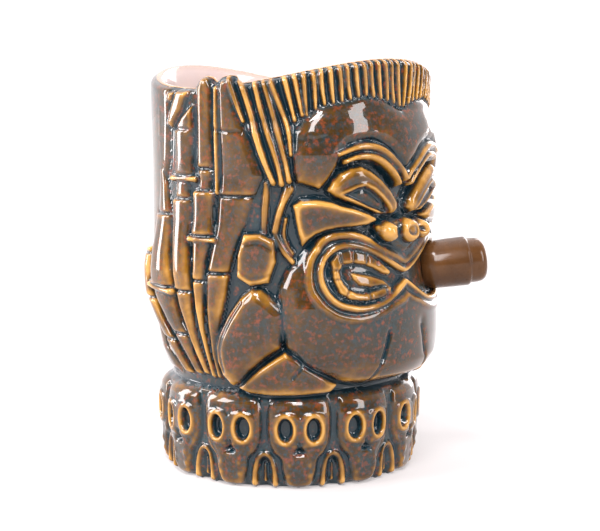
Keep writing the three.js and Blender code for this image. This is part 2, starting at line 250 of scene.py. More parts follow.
def blurred(sheet, sigma):
    """The sheet smoothed over a distance of sigma mm."""
    spread = sigma / STEP
    pad = int(3 * spread) + 2
    wide = np.pad(sheet, pad, mode="reflect")
    rows = np.fft.fftfreq(wide.shape[0])[:, None]
    columns = np.fft.rfftfreq(wide.shape[1])[None, :]
    gain = np.exp(-2 * (np.pi * spread) ** 2 * (rows ** 2 + columns ** 2))
    smooth = np.fft.irfft2(np.fft.rfft2(wide) * gain, wide.shape)
    return smooth[pad:-pad, pad:-pad]


# ---- relief pieces

def sculpt_base(relief):
    """The foot: a drum with twelve skulls, and an arch between each two jaws."""
    drum_heights = (0, 0.6, 2, 5, 33.5, 35.6, 36.8, 38)
    drum_radii = (46.4, 47.8, 48.8, 49.6, 50.1, 49.6, 48, 40)
    level = np.interp(HEIGHT, drum_heights, drum_radii)
    everywhere = (slice(None), slice(None))
    relief.join("base_ring", everywhere, level, 0.8)
    for k in range(SKULLS_A_SIDE + 1):
        middle = k * SKULL_SPACING
        arch = [(middle - 4.6, 2), (middle - 4.3, 7), (middle - 2.6, 11.6), (middle, 13.2),
                (middle + 2.6, 11.6), (middle + 4.3, 7), (middle + 4.6, 2)]
        relief.rope("base_ring", arch, flat_level(50.9), (1.3, 1.2, 1.3), drop=1.1, fillet=1.0)
        relief.groove([(middle, 2.2), (middle, 7), (middle, 9.6)], 2.2, 2.3)
        relief.rope("base_ring", [(middle, 3), (middle, 9)], flat_level(49), (0.8, 0.6), drop=0.8)
    for k in range(SKULLS_A_SIDE):
        sculpt_skull(relief, f"skull_{k + 1:02d}", (k + 0.5) * SKULL_SPACING)


def sculpt_skull(relief, name, middle):
    """One skull: a domed cap, cheeks drawn in to a narrow jaw, and hollow eyes and nose."""
    def at(across, height):
        """A point beside the skull's middle line."""
        return middle + across, height

    dome = np.interp(HEIGHT, (0, 8, 15, 22, 29, 33, 36), (51.2, 52.2, 52.8, 53.2, 53.3, 52.6, 50.6))
    dome = dome - 1.5 * np.clip(np.abs(TURN - middle) / 13, 0, 1) ** 2.2
    half = [(4.6, 0.8), (7.4, 6), (8.2, 11.2), (11.4, 14), (13.8, 19), (14.1, 27), (13.6, 33),
        (11, 36.4)]
    head = [at(-across, height) for across, height in reversed(half)] + [at(*corner) for corner in half]
    relief.pad(name, head, dome, edge=2.4, drop=3.2, smooth=True, fillet=0.8)
    mask = [at(-11.4, 24), at(-10.6, 28.4), at(-6, 30.2), at(-2, 29.4), at(0, 28.2), at(2, 29.4),
            at(6, 30.2), at(10.6, 28.4), at(11.4, 24), at(9, 17), at(-9, 17)]
    relief.pad(name, mask, dome + 0.5, edge=0.9, drop=0.9, smooth=True, fillet=0.3)
    for side in (-1, 1):
        relief.hollow(at(side * 5.9, 23.2), (3.2, 4.6), 3.4, rim=0.3)
        for height, size in ((9.6, 1.5), (5.4, 1.2)):
            spot = window(np.array([at(side * 4.3, height)]), 5)
            away = np.hypot(TURN[spot] - middle - side * 4.3, HEIGHT[spot] - height)
            relief.radius[spot] += 0.55 * np.exp(-(away / size) ** 2)
        relief.groove([at(side * 8.3, 15), at(side * 6, 12), at(side * 5.6, 9)], 0.35, 0.9)
    relief.groove([at(0, 17.6), at(0, 15.2)], 1.5, 1.2)
    relief.groove([at(-1.7, 14.4), at(1.7, 14.4)], 1.3, 1.0)


def sculpt_back(relief):
    """The plain back, from behind one little finger round to the other."""
    level = np.interp(HEIGHT, PLAIN_HEIGHTS, PLAIN_RADII)
    outline = [(186, 170), (104, 170), (104, 140), (106, 122), (112, 104), (124, 92), (130, 70),
        (118, 50), (106, 39.5), (110, 37), (186, 37)]
    relief.pad("back_right", outline, level, edge=5, drop=3.2, fillet=1.2)


def sculpt_hair(relief):
    """The hair: a swept crown of strands, and a lock of long ones down beside the temple."""
    level = np.maximum(face_level(-0.6), wall_level() + 1.8)
    crown = [(-6, 170), (76, 170), (74, 149), (72.5, 144.8), (67, 140), (60, 139), (48, 140), (44, 138),
        (37, 143.2), (29, 144.8), (20, 147), (10, 145.6), (0, 142.4), (-6, 144)]
    relief.pad("hair_crown", crown, level - 1.5, edge=1.2, drop=1.5)
    lock = [(44.5, 140), (48, 143), (60, 143), (68, 141), (66, 135), (61.5, 128.5), (59.5, 122),
        (57.5, 116.5), (52.5, 113.8), (47.8, 115.5), (48.4, 127), (45.2, 136)]
    relief.pad("hair_lock_right", lock, level - 1.3, edge=1.2, drop=1.8)
    strands = [
        [(73.6, 158), (72.2, 152), (70.7, 147.7), (68.2, 141.5), (66.8, 138.2)],
        [(70.2, 160), (68.8, 154), (66.9, 150.1), (63.8, 141.1), (61.6, 133.3), (58.6, 124.3),
         (55.2, 116)],
        [(66.0, 161), (64.6, 156), (62.2, 151.3), (59.9, 142.3), (57.4, 134.8), (55, 127.9),
         (53, 121), (52, 115.6)],
        [(61.8, 162), (60.4, 157), (58.6, 151.5), (55.7, 142.3), (53.4, 133.3), (51.4, 126.3),
         (49.4, 116.8)],
        [(58.2, 163), (57.4, 158), (56, 151.5), (52.8, 143.5), (50.4, 137.8), (49.2, 132.3), (48.7, 126)],
        [(54.0, 164), (52.8, 159), (50.9, 153.3), (48.9, 145.3), (47.2, 138.6)],
        [(50.2, 165), (49.2, 160), (47.4, 154.2), (45.6, 146), (44.4, 140.4)],
    ]
    for i, strand in enumerate(strands):
        owner = "hair_crown" if i in (0, 5, 6) else "hair_lock_right"
        width = (1.4, 1.5, 1.7, 1.2) if i in (1, 2, 3) else (1.4, 1.5, 0.9)
        relief.rope(owner, strand, level + 1.1, width, drop=2.6, fillet=0.3)
    hairline = ((0, 142.8), (10, 145.8), (20, 147.2), (29, 145), (37, 143.6), (45, 138.6))
    for i in range(13):
        turn = 1.75 + i * 3.45
        foot = np.interp(turn, *zip(*hairline))
        wander = 0.5 * math.sin(i * 2.1)
        strand = [(turn + 1.3, 164), (turn + 0.4 + wander, (foot + 160) / 2), (turn - 0.5, foot + 0.6)]
        top = level + 0.7 + 0.2 * wander
        relief.rope("hair_crown", strand, top, (1.4, 1.35, 0.8), drop=2.0, fillet=0.35)


def sculpt_forehead(relief):
    """The forehead, with the temple's bump, down to the frown."""
    level = face_level()
    outline = [(-8, 150), (0, 143.4), (10, 147), (20, 148), (30, 146), (38, 144.4), (44.4, 139.6),
        (47.6, 134), (48.6, 127), (48.2, 119.5), (46.4, 115.8), (42.3, 114.9), (37.9, 113.5),
        (34.8, 116.6), (31.6, 121.6), (30, 126), (27.2, 128.9), (22.9, 130.6), (17.6, 131.3),
        (13.9, 130.1), (8.7, 127.3), (4.3, 123.3), (0, 120.2), (-4.3, 123.3), (-8, 127)]
    relief.pad("forehead", outline, level, edge=5, drop=3.4, fillet=0.5)
    relief.groove([(36, 132), (40, 131), (44.5, 131.6)], 0.25, 1.8)


def sculpt_brow(relief):
    """The frown: two long ridges, one below the other, over a bulging lid."""
    level = face_level()
    upper = [(31.4, 126.2), (25.4, 128.4), (21, 129.1), (16.7, 128.7), (12.4, 127.1), (7.7, 123.7),
        (2.6, 119.6), (0.4, 117)]
    lower = [(28.4, 123.6), (24, 125.2), (18.5, 125.5), (13.7, 124), (9.1, 121), (5.6, 117.7),
        (3.6, 115)]
    relief.rope("brow_right", upper, level + 0.35, (0.9, 1.45, 1.6, 1.6, 1.2), drop=1.4, fillet=0.4)
    relief.rope("brow_right", lower, level + 0.1, (0.8, 1.3, 1.4, 1.3, 0.8), drop=1.4, fillet=0.4)
    lid = [(35, 113), (33.6, 116.2), (30.6, 119.2), (26.6, 121.3), (22, 121.9), (17.6, 120),
        (12.4, 116.6), (7.4, 112.4), (3.9, 108.4), (3.3, 105.4), (5.6, 103.2), (8.3, 103.6),
        (14, 103.8), (24, 107.4), (32, 110.4)]
    relief.pad("eyelid_right", lid, level + 0.3, edge=3.6, drop=3.2, fillet=0.4)
    almond = [(29.6, 111.5), (23.9, 113.9), (20.8, 114.5), (17.5, 113), (13.6, 110.1), (10.4, 107.1),
        (8.2, 104.3), (11.3, 104.2), (17.9, 106.5), (23.9, 109.1)]
    sunken_eye(relief, almond)


def sunken_eye(relief, almond):
    """The half-shut eye: an almond set below the golden edge of the lids."""
    outline = np.array(almond, float)
    where = window(outline, 3)
    depth = inside_distance(outline, where)
    sink = np.clip((depth + 0.2) / 1.0, 0, 1)
    sink = sink ** 2 * (3 - 2 * sink)
    ball = 0.9 * np.clip(depth / 2.4, 0, 1)
    lip = 0.5 * np.exp(-((depth + 0.7) / 0.55) ** 2)
    relief.radius[where] += lip - sink * (2.4 - ball)
    owner = relief.owner[where]
    owner[depth > 0] = relief.number("eye_right")


def sculpt_cheek(relief):
    """The cheekbone: a flat wedge that tapers to the nose."""
    level = face_level()
    outline = [(47.8, 107.6), (45.1, 109.4), (38.8, 109.7), (33.4, 108.8), (29.5, 107.4), (24.4, 106.3),
        (18.5, 104.3), (13.6, 101.9), (18.9, 99.9), (25.6, 99.3), (30.8, 99), (35.6, 98.2),
        (39.3, 96.8), (42.1, 94.8), (44.3, 92.4), (46, 97.1), (47, 101.9)]
    relief.pad("cheek_right", outline, level + 1.5, edge=1.5, drop=3.4, fillet=0.5)


def sculpt_nose(relief):
    """Three beads in a row on a common lobe: the middle one dished, the outer ones pierced."""
    lobe = [(14.6, 98), (12.6, 93.8), (8, 92), (4, 90), (0, 88.8), (-4, 90), (-4, 101.4), (6, 101),
        (13, 100.2)]
    relief.pad("nose_tip", lobe, face_level(1.4), edge=2.6, drop=2.8, smooth=True, fillet=0.5)
    relief.bead("nostril_right", (9.8, 97), 3.5, 59.0)
    relief.bead("nose_tip", (0, 97), 4.5, 59.2)
    relief.hollow((0.5, 97.4), (2.7, 2.4), 1.5)
    relief.hollow((7.8, 97.3), (1.1, 1.3), 2.0)


def sculpt_mouth(relief, full):
    """The pinched mouth: two ridges round each ring. The right-hand ring has teeth and a tongue."""
    level = face_level()
    outer_top = [(38.9, 91.2), (36.9, 94), (34, 95.8), (29.3, 96.6), (24, 96), (18.3, 93.9),
        (14.8, 91.9), (9.2, 89.2), (4, 87), (0, 85.4), (-4, 87)]
    outer_low = [(38.9, 91.2), (41.1, 87.6), (42, 82.9), (41.5, 77.1), (39, 72.7), (36.1, 69.5),
        (31.4, 66.5), (25.7, 65.2), (19.7, 65.6), (13.2, 67.2), (6.9, 69.6), (2.4, 71.2), (0, 72.4),
        (-2.4, 71.2)]
    inner_top = [(37.3, 86), (35.6, 89), (32, 91.8), (26.8, 92.8), (20.5, 91.8), (15.3, 89.7),
        (8.7, 86.2), (3.4, 83.4), (0, 82.2), (-3.4, 83.4)]
    inner_low = [(37.3, 86), (37.9, 82.8), (37.1, 78.4), (34.9, 74.3), (31.2, 71.1), (25.9, 69.4),
        (21.2, 69), (16, 69.7), (11.4, 71.2), (6.5, 73.8), (2, 76.6), (0, 77.6), (-2, 76.6)]
    band = outer_low[:-1] + outer_top[-2:0:-1]
    recess(relief, band, 0.7, "lower_lip")
    cavity = inner_low[:-1] + inner_top[-2:0:-1]
    recess(relief, cavity, 2.3, "cup_shell")
    if full:
        sculpt_teeth(relief, level)
    relief.rope("upper_lip", outer_top, level + 0.8, (1.5, 1.6, 1.5, 1.3, 1.1), drop=1.2, fillet=0.9)
    relief.rope("lower_lip", outer_low, level + 0.8, (1.5, 1.8, 1.8, 1.5, 1.3), drop=1.2, fillet=0.9)
    relief.rope("upper_lip", inner_top, level + 0.7, (1.3, 1.5, 1.5, 1.2, 1.0), drop=1.5, fillet=0.9)
    relief.rope("lower_lip", inner_low, level + 0.7, (1.3, 1.5, 1.5, 1.3, 1.1), drop=1.5, fillet=0.9)


def recess(relief, points, depth, name):
    """Sinks the sheet inside an outline to a flat floor."""
    outline = spline(points, closed=True, cuts=2)
    where = window(outline, 3)
    inside = inside_distance(outline, where)
    sink = np.clip((inside + 0.6) / 1.4, 0, 1)
    sink = sink ** 2 * (3 - 2 * sink)
    floor = face_level(-depth)[where]
    current = relief.radius[where]
    relief.radius[where] = current * (1 - sink) + floor * sink
    owner = relief.owner[where]
    owner[inside > 0] = relief.number(name)


def sculpt_teeth(relief, level):
    """A horseshoe of teeth, broad above and narrow below, round the tongue."""
    upper = [(33.2, 83.6), (34, 87), (31.5, 90.3), (26.6, 91.4), (19.5, 90), (13.4, 86.8), (7.6, 82.2),
        (8.6, 80.6), (12.1, 81.4), (16, 83.5), (20.4, 85.2), (25, 85.9), (28.6, 85.6), (30, 83.6)]
    lower = [(33.4, 84), (33, 80.3), (30.7, 75), (26.5, 72.4), (19.9, 71.5), (13.5, 72.2), (8.4, 73.8),
        (7.6, 76.6), (12, 76.6), (16, 75.5), (20, 74.7), (23.5, 75), (26.6, 76.4), (28.8, 78.9),
        (29.9, 81.5), (30.4, 84)]
    relief.pad("upper_teeth", upper, level - 0.1, edge=1.0, drop=1.8, fillet=0.4)
    relief.pad("lower_teeth", lower, level - 0.1, edge=1.1, drop=1.8, fillet=0.4)
    for turn, lean in ((14.4, -1.2), (19.4, -0.6), (24.6, 0.2), (29, 1.8)):
        relief.groove([(turn + lean, 91), (turn, 85)], 0.6, 0.35, smooth=False)
    for foot, tip in (((28.6, 73.2), (26.4, 77)), ((18.2, 71.2), (18.6, 75.6)), ((10.2, 72.6), (11, 77)),
            ((34, 80), (29, 80.6))):
        relief.groove([foot, tip], 0.6, 0.35, smooth=False)
    wedge = [(26, 82.6), (22, 82), (17, 81), (11, 79), (7.4, 76), (12, 76.8), (17.2, 76.6),
        (22.6, 77.6), (25, 80)]
    relief.pad("tongue", wedge, level - 0.8, edge=0.8, drop=1.4, fillet=0.4)


def sculpt_jaw(relief):
    """The heavy jowls, and the chin between its two creases."""
    level = face_level()
    jowl = [(-16, 92), (14, 97), (30, 99), (40, 96), (44.4, 91.8), (47.6, 87.8), (51.4, 84.4),
        (54.2, 78.3), (54.6, 74.6), (54, 68), (53.4, 61.6), (50.6, 54.4), (43.8, 48.2), (36, 44.2),
        (27, 40.4), (18, 38.2), (-16, 38.2)]
    relief.pad("jowl_right", jowl, level + 0.3, edge=9, drop=6.6, fillet=0.9)
    chin = [(-14, 66), (0, 68), (9.6, 60), (10.9, 56), (12, 52), (14.6, 45.6), (17.6, 38.4),
        (-17.6, 38.4)]
    outline = np.array(chin, float)
    where = window(outline, 3)
    depth = inside_distance(outline, where)
    owner = relief.owner[where]
    owner[(depth > 0) & (owner == relief.number("jowl_right"))] = relief.number("chin")
    relief.groove([(9.8, 59.6), (11, 55.4), (12.3, 51), (14.8, 45.2), (17.8, 39.2)], 1.1, 0.6)
    relief.groove([(9.4, 61), (12.8, 50)], 0.5, 2.2)


def sculpt_ear(relief):
    """The ear: an upright bar, and two bent tubes that run down to the arm."""
    parts = [
        ([(57.9, 115.5), (58.6, 106), (59.1, 96.8)], 55.4, (1.5, 1.7, 1.5), 1.8),
        ([(49.4, 113.6), (51.6, 108.5), (53.1, 104.4), (54.6, 98)], 56.2, (2.1, 1.4, 1.5, 1.6), 1.9),
        ([(54.4, 96.2), (51.6, 91.2), (47.9, 86.8)], 56.0, (1.6, 1.5, 1.2), 1.9),
        ([(50.6, 102.6), (51.4, 97), (50, 92.8), (47.8, 89.8)], 55.4, (0.9, 1.0, 0.9, 0.7), 1.3),
    ]
    for line, radius, widths, drop in parts:
        relief.rope("ear_right", line, flat_level(radius), widths, drop=drop)


def sculpt_limbs(relief):
    """The forearm's stump, the bent knee and the foot tucked under the jaw."""
    arm = [(67, 97), (60, 97.6), (54.2, 95), (54, 86.8), (57, 79), (64, 77.4), (69.8, 80.8),
        (69.4, 89.4)]
    relief.pad("arm_right", arm, flat_level(57.6), edge=2.2, drop=3.2, fillet=0.6)
    relief.groove([(66.5, 93.2), (60.6, 94), (56, 91.6)], 0.35, 0.7)
    relief.groove([(56.4, 82.2), (63.4, 80.6), (68.4, 83.4)], 0.35, 0.7)
    knee = [(63.7, 77.6), (68.9, 73.4), (74.4, 66.4), (78.8, 59), (80.4, 54.2), (80.2, 48.2),
        (77.8, 42.6), (73.4, 38.9), (69.2, 40.2), (64.6, 45.4), (58, 50.8), (52.4, 54.2), (50, 62),
        (50, 69), (55.2, 73.6), (59.7, 77)]
    knee_level = 58.6 - 0.045 * np.abs(TURN - 63) ** 1.35 - 0.012 * np.clip(60 - HEIGHT, 0, 30) ** 1.7
    relief.pad("knee_right", knee, knee_level, edge=5.4, drop=5, fillet=0.5)
    relief.groove([(67.6, 71.6), (72, 65), (75.8, 58), (77.2, 52), (76, 45)], 0.9, 0.7)
    foot = [(71.4, 38.6), (66.4, 42.6), (60, 47.8), (50.8, 53.6), (46.4, 51.4), (42, 47.6), (35.4, 44),
        (28.6, 40), (32, 37), (44, 36.4), (56, 36.2), (66, 36.6)]
    foot_level = 56.6 - 0.010 * np.clip(50 - HEIGHT, 0, 20) ** 2 - 0.004 * (TURN - 50) ** 2
    relief.pad("foot_right", foot, foot_level, edge=2.2, drop=3.2, fillet=0.6)
    relief.groove([(47.9, 43.6), (46.4, 45.6), (44.4, 47.8)], 0.8, 0.6)


def bone(relief, name, stations, lift=0.0, drop=3.4):
    """One bone of a finger, round across and square at its ends.

    Each station is a height and the turns of the bone's two sides there.
    """
    heights, lefts, rights = (np.array(column[::-1], float) for column in zip(*stations))
    where = window(np.array([(lefts.max(), heights[0]), (rights.min(), heights[-1])]), 4)
    turn, height = TURN[where], HEIGHT[where]
    share = np.clip((height - heights[0]) / (heights[-1] - heights[0]), 0, 1)
    waist = BONE_WAIST * np.sin(np.pi * share)
    left = np.interp(height, heights, lefts) - waist
    right = np.interp(height, heights, rights) + waist
    half = (left - right) / 2
    off = np.abs(turn - (left + right) / 2) / half
    across = 1 - np.sqrt(1 - np.clip(off, 0, 1) ** 2.6)
    to_end = np.minimum(height - heights[0], heights[-1] - height)
    corner = 1 - np.sqrt(1 - np.clip(1 - to_end / 0.9, 0, 1) ** 2)
    outside = np.minimum(np.minimum(half * (1 - off), to_end), 0)
    relief.join(name, where, hand_level(lift)[where] - drop * across - 0.9 * corner + 3 * outside, 0.45)


def collar(relief, name, height, left, right, lift=0.5, lean=0.0):
    """The flared end of a bone."""
    line = [(left, height + lean), (right, height - lean)]
    relief.rope(name, line, hand_level(lift), (1.1, 1.1), drop=1.3)


def sculpt_hand(relief):
    """The skeleton hand held up behind the ear: five fingers, bone by bone."""
    thumb = "thumb_finger_right"
    bone(relief, thumb, [(153, 77, 71.5), (147, 79.4, 69), (140, 79.8, 66.8), (130, 79.6, 62),
            (124, 79.4, 59), (118, 79.2, 57.4), (111, 79.4, 61.6)], lift=0.6, drop=4.4)
    bone(relief, thumb, [(110.4, 79.4, 62), (100, 80.6, 65), (91, 82, 69), (82.4, 83, 72.6)], drop=3.8)
    bone(relief, thumb, [(81.6, 83, 72.8), (74, 84, 73.6), (62, 84.6, 76.2), (50, 84.2, 79.2),
            (41, 82.8, 80)])
    relief.rope(thumb, [(78.4, 150), (78.4, 136), (78.2, 112)], hand_level(0.3),
                (1.1, 1.2, 1.1), drop=1.3)
    relief.groove([(76.6, 148), (76.6, 113)], 0.5, 0.6)
    relief.groove([(79.4, 135.4), (76, 134.6), (68, 134.2)], 0.45, 0.5)
    index = "index_finger_right"
    bone(relief, index, [(154.6, 86.4, 82), (150, 89, 79.9), (143, 89.6, 79.4), (121, 89.2, 79.2)])
    bone(relief, index, [(120.2, 88.8, 79.8), (112.6, 88.6, 80)])
    bone(relief, index, [(112.2, 91, 79), (96, 91.2, 79.4)], lift=1.1)
    collar(relief, index, 94.2, 91.6, 79)
    bone(relief, index, [(93.4, 91.2, 80.6), (86, 91, 82), (79, 90.2, 83)])
    bone(relief, index, [(78.4, 90.2, 83), (60, 89, 84.2), (41, 86.2, 82.6)])
    middle = "middle_finger_right"
    relief.pad(middle, [(92.4, 149.4), (99.8, 150), (105.4, 141.6), (107, 136.4), (102.8, 135.2),
            (96.6, 141.6)], hand_level(0.2), edge=2.4, drop=2.4)
    relief.pad(middle, [(90.6, 144.4), (96.8, 140.2), (100.4, 136.6), (98.6, 134), (90.2, 134.4)],
               hand_level(-0.2), edge=2, drop=2.2)
    bone(relief, middle, [(135, 102.4, 89.8), (118, 103.2, 89.8)], lift=0.4)
    collar(relief, middle, 116.6, 103.8, 89.6)
    bone(relief, middle, [(115.4, 102.6, 91.6), (109.4, 102.8, 91.6)])
    bone(relief, middle, [(108.8, 105, 91.4), (95, 104.6, 91.4), (80, 102, 91.2),
            (74.4, 100.4, 91)], lift=0.2)
    bone(relief, middle, [(73.8, 100.2, 91), (55, 95.6, 89), (42, 90.4, 86.4)])
    ring = "ring_finger_right"
    bone(relief, ring, [(149, 107.6, 100.8), (145.6, 109.2, 102)], lift=-0.2)
    bone(relief, ring, [(144, 116.6, 109.6), (132, 117, 110)], lift=-0.3)
    bone(relief, ring, [(131, 116.4, 110.4), (122, 114.6, 111)], lift=-0.5)
    bone(relief, ring, [(120, 114.6, 110), (114, 117, 106.8), (103, 118, 105.2)])
    bone(relief, ring, [(102.4, 120.6, 105.2), (88, 122, 104.8), (75, 120, 102.4)], lift=0.4)
    collar(relief, ring, 73.6, 121.6, 103, lean=0.6)
    bone(relief, ring, [(72.4, 118.6, 101.8), (61, 111, 97.6), (57.2, 107, 95.6)])
    bone(relief, ring, [(56.6, 106.6, 95.4), (50, 102, 93), (41.6, 96.6, 90)])
    little = "little_finger_right"
    collar(relief, little, 87.4, 134, 122, lean=-0.4)
    bone(relief, little, [(86, 133, 122), (77, 134, 122), (69, 131, 120.6)], lift=0.5)
    bone(relief, little, [(68.4, 130.6, 119), (59, 124, 111.2), (53.8, 118, 106.6)])
    bone(relief, little, [(53.4, 117.6, 106.2), (47, 111.6, 101), (41, 105.4, 96.4)])


def sculpt(full_mouth):
    """The whole right-hand half of the mug. The left-hand half is its mirror."""
    relief = Relief()
    sculpt_base(relief)
    sculpt_back(relief)
    sculpt_hand(relief)
    sculpt_ear(relief)
    sculpt_limbs(relief)
    sculpt_jaw(relief)
    sculpt_cheek(relief)
    sculpt_forehead(relief)
    sculpt_hair(relief)
    sculpt_brow(relief)
    sculpt_mouth(relief, full_mouth)
    sculpt_nose(relief)
    relief.radius = blurred(relief.radius, 0.3)
    return relief


# ---- sheets to solids

def mirrored_sheet(right, left):
    """A full turn of the sheet: columns run from turn -180 up to just below 180."""
    return np.concatenate([left[:, ::-1][:, :-1], right[:, :-1]], axis=1)


def on_wall(turns, heights, radii):
    """Points in metres from turns in degrees and heights and radii in mm."""
    angle = np.radians(turns)
    x = -radii * np.sin(angle)
    y = -radii * np.cos(angle)
    return np.stack([x, y, heights * np.ones_like(x)], axis=-1) * MM


def cut_from_sheet(outside, inside, mask):
    """A closed solid of the cells in mask, between the outside and inside grids of points."""
    rows, columns = mask.shape
    across = (np.arange(columns) + 1) % columns
    lower, upper = np.nonzero(mask)
    corner_rows = np.stack([lower, lower + 1, lower + 1, lower])
    corner_columns = np.stack([upper, upper, across[upper], across[upper]])
    front = corner_rows * columns + corner_columns
    shift = (rows + 1) * columns
    walls = []
    below = np.vstack([np.zeros((1, columns), bool), mask[:-1]])
    above = np.vstack([mask[1:], np.zeros((1, columns), bool)])
    before, after = np.roll(mask, 1, axis=1), np.roll(mask, -1, axis=1)
    for neighbour, first, second in ((below, 3, 0), (above, 1, 2), (before, 0, 1), (after, 2, 3)):
        edge = ~neighbour[lower, upper]
        one, two = front[first][edge], front[second][edge]
        walls.append(np.stack([two, one, one + shift, two + shift]))
    faces = np.concatenate([front, front[::-1] + shift] + walls, axis=1).T
    points = np.concatenate([outside.reshape(-1, 3), inside.reshape(-1, 3)])
    used, faces = np.unique(faces, return_inverse=True)
    return points[used], faces.reshape(-1, 4), used


def ring_faces(rows, columns):
    """Four-sided faces that join rings of points, each ring to the next."""
    row, column = np.divmod(np.arange((rows - 1) * columns), columns)
    next_column = (column + 1) % columns
    return np.stack([row * columns + column, (row + 1) * columns + column,
            (row + 1) * columns + next_column, row * columns + next_column], axis=1)


def make_mesh(name, points, faces):
    """A smooth-shaded mesh object from arrays of points and four-sided faces."""
    mesh = bpy.data.meshes.new(name)
    mesh.vertices.add(len(points))
    mesh.vertices.foreach_set("co", points.ravel())
    mesh.loops.add(faces.size)
    mesh.loops.foreach_set("vertex_index", faces.ravel())
    mesh.polygons.add(len(faces))
    mesh.polygons.foreach_set("loop_start", np.arange(0, faces.size, 4))
    mesh.update(calc_edges=True)
    mesh.polygons.foreach_set("use_smooth", np.ones(len(faces), bool))
    thing = bpy.data.objects.new(name, mesh)
    bpy.context.scene.collection.objects.link(thing)
    return thing


def add_number(thing, name, values):
    """A number on every vertex, for the materials to read."""
    attribute = thing.data.attributes.new(name, "FLOAT", "POINT")
    attribute.data.foreach_set("value", np.asarray(values, np.float32))


def sheet_normals(points):
    """The outward normal at each point of a full-turn grid."""
    around = np.roll(points, -1, axis=1) - np.roll(points, 1, axis=1)
    up = np.gradient(points, axis=0)
    normals = np.cross(up, around)
    return normals / np.maximum(np.linalg.norm(normals, axis=2, keepdims=True), 1e-12)


# ---- materials

def grey(value):
    """A neutral colour."""
    return (value, value, value)


class Nodes:
    """A short way to write the nodes of a new material or world."""

    def __init__(self, name, library, shader):
        self.made = library.new(name)
        self.made.use_nodes = True
        self.tree = self.made.node_tree
        self.shader = self.tree.nodes[shader]

    def add(self, kind, inputs=None, **settings):
        """A node with its inputs linked or set, by name or number."""
        node = self.tree.nodes.new(kind)
        for key, value in settings.items():
            setattr(node, key, value)
        for key, value in (inputs or {}).items():
            if isinstance(value, bpy.types.NodeSocket):
                self.tree.links.new(value, node.inputs[key])
            else:
                node.inputs[key].default_value = value
        return node

    def number(self, name):
        """A number stored on the vertices."""
        return self.add("ShaderNodeAttribute", attribute_name=name).outputs["Fac"]

    def place(self):
        return self.add("ShaderNodeTexCoord").outputs["Object"]

    def noise(self, scale, detail=3.0, rough=0.55):
        inputs = {"Vector": self.place(), "Scale": scale, "Detail": detail, "Roughness": rough}
        return self.add("ShaderNodeTexNoise", inputs).outputs["Fac"]

    def maths(self, operation, one, two):
        return self.add("ShaderNodeMath", {0: one, 1: two}, operation=operation).outputs[0]

    def ramp(self, value, stops):
        """A colour ramp; each stop is a position and a colour."""
        node = self.add("ShaderNodeValToRGB", {"Fac": value})
        node.color_ramp.elements[0].position = stops[0][0]
        node.color_ramp.elements[0].color = (*stops[0][1], 1)
        node.color_ramp.elements[1].position = stops[-1][0]
        node.color_ramp.elements[1].color = (*stops[-1][1], 1)
        for position, colour in stops[1:-1]:
            node.color_ramp.elements.new(position).color = (*colour, 1)
        return node.outputs["Color"]

    def mix(self, share, one, two):
        """The first colour, with a share of the second."""
        node = self.add("ShaderNodeMix", data_type="RGBA")
        for socket, value in ((0, share), (6, one), (7, two)):
            if isinstance(value, bpy.types.NodeSocket):
                self.tree.links.new(value, node.inputs[socket])
            else:
                node.inputs[socket].default_value = value
        return node.outputs[2]

    def bump(self, height, distance, strength):
        inputs = {"Height": height, "Distance": distance, "Strength": strength}
        self.link(self.add("ShaderNodeBump", inputs).outputs["Normal"], "Normal")

    def link(self, value, socket):
        self.tree.links.new(value, self.shader.inputs[socket])

    def fix(self, **values):
        """Sets inputs of the shader, with _ for a space."""
        for key, value in values.items():
            self.shader.inputs[key.replace("_", " ")].default_value = value


# Colours of the glaze, from where it pools to where it runs thin.
CREVICE = (0.004, 0.017, 0.026)
DEEP = (0.014, 0.024, 0.024)
OLIVE = (0.038, 0.020, 0.005)
UMBER = (0.080, 0.037, 0.006)
AMBER = (0.24, 0.110, 0.013)
GOLD = (0.47, 0.245, 0.055)
PAINTED_HIGHLIGHT_COLOUR = (0.60, 0.50, 0.49)  # painted highlight: the pale band where light catches the inside wall below the rim
TEAL = (0.015, 0.045, 0.060)  # specks on the flats
RUST = (0.19, 0.040, 0.012)
CIGAR_DARK = (0.055, 0.023, 0.008)
CIGAR_PALE = (0.105, 0.045, 0.014)


def new_material(name):
    """The nodes of a new material."""
    return Nodes(name, bpy.data.materials, "Principled BSDF")


